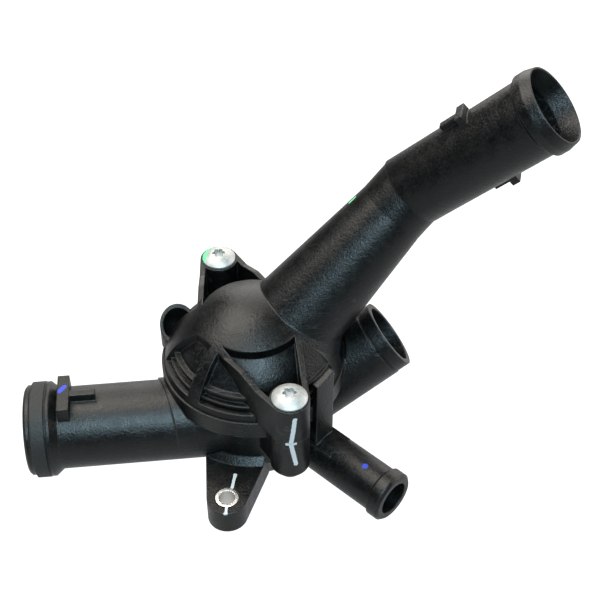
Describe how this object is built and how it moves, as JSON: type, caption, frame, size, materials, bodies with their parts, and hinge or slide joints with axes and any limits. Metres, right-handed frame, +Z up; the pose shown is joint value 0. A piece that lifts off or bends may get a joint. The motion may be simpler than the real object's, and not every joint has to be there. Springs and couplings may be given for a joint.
{
  "type": "thermostat housing",
  "caption": "Black moulded engine coolant thermostat housing with a ribbed dome cover, an angled outlet pipe, hose necks and a wax valve inside.",
  "frame": {"origin": "on the base plane, on the axis of the thermostat and the dome, midway between the mounting holes", "axes": "+Z up along the thermostat axis and the screws, -X out of the inlet neck"},
  "size_m": [0.2218, 0.1241, 0.167],
  "materials": {
    "black_nylon": "satin, glass-filled nylon",
    "zinc_steel": "matte zinc",
    "stainless": "pressed sheet",
    "seal_rubber": "matte",
    "capsule_brass": "drawn",
    "wax": "waxy"
  },
  "bodies": {
    "housing": {"housing_body": "black_nylon", "outlet_cover": "black_nylon", "cover_screw_front": "zinc_steel", "cover_screw_rear": "zinc_steel", "mounting_sleeve_front": "zinc_steel", "mounting_sleeve_rear": "zinc_steel", "cover_seal": "seal_rubber", "valve_flange": "stainless", "piston_bridge": "stainless", "spring_cage": "stainless", "piston": "stainless", "main_spring": "stainless"},
    "valve": {"valve_disc": "stainless", "valve_seal": "seal_rubber", "wax_capsule": "capsule_brass", "piston_guide": "capsule_brass", "rubber_boot": "seal_rubber", "wax_charge": "wax", "capsule_collar": "capsule_brass"}
  },
  "joints": [
    {"name": "valve_lift", "type": "slide", "parent": "housing", "child": "valve", "axis": [0, 0, -1], "range_m": [0, 0.009], "stiffness_N_per_m": 2500, "springref_m": -0.008, "deforming": ["main_spring"]}
  ]
}
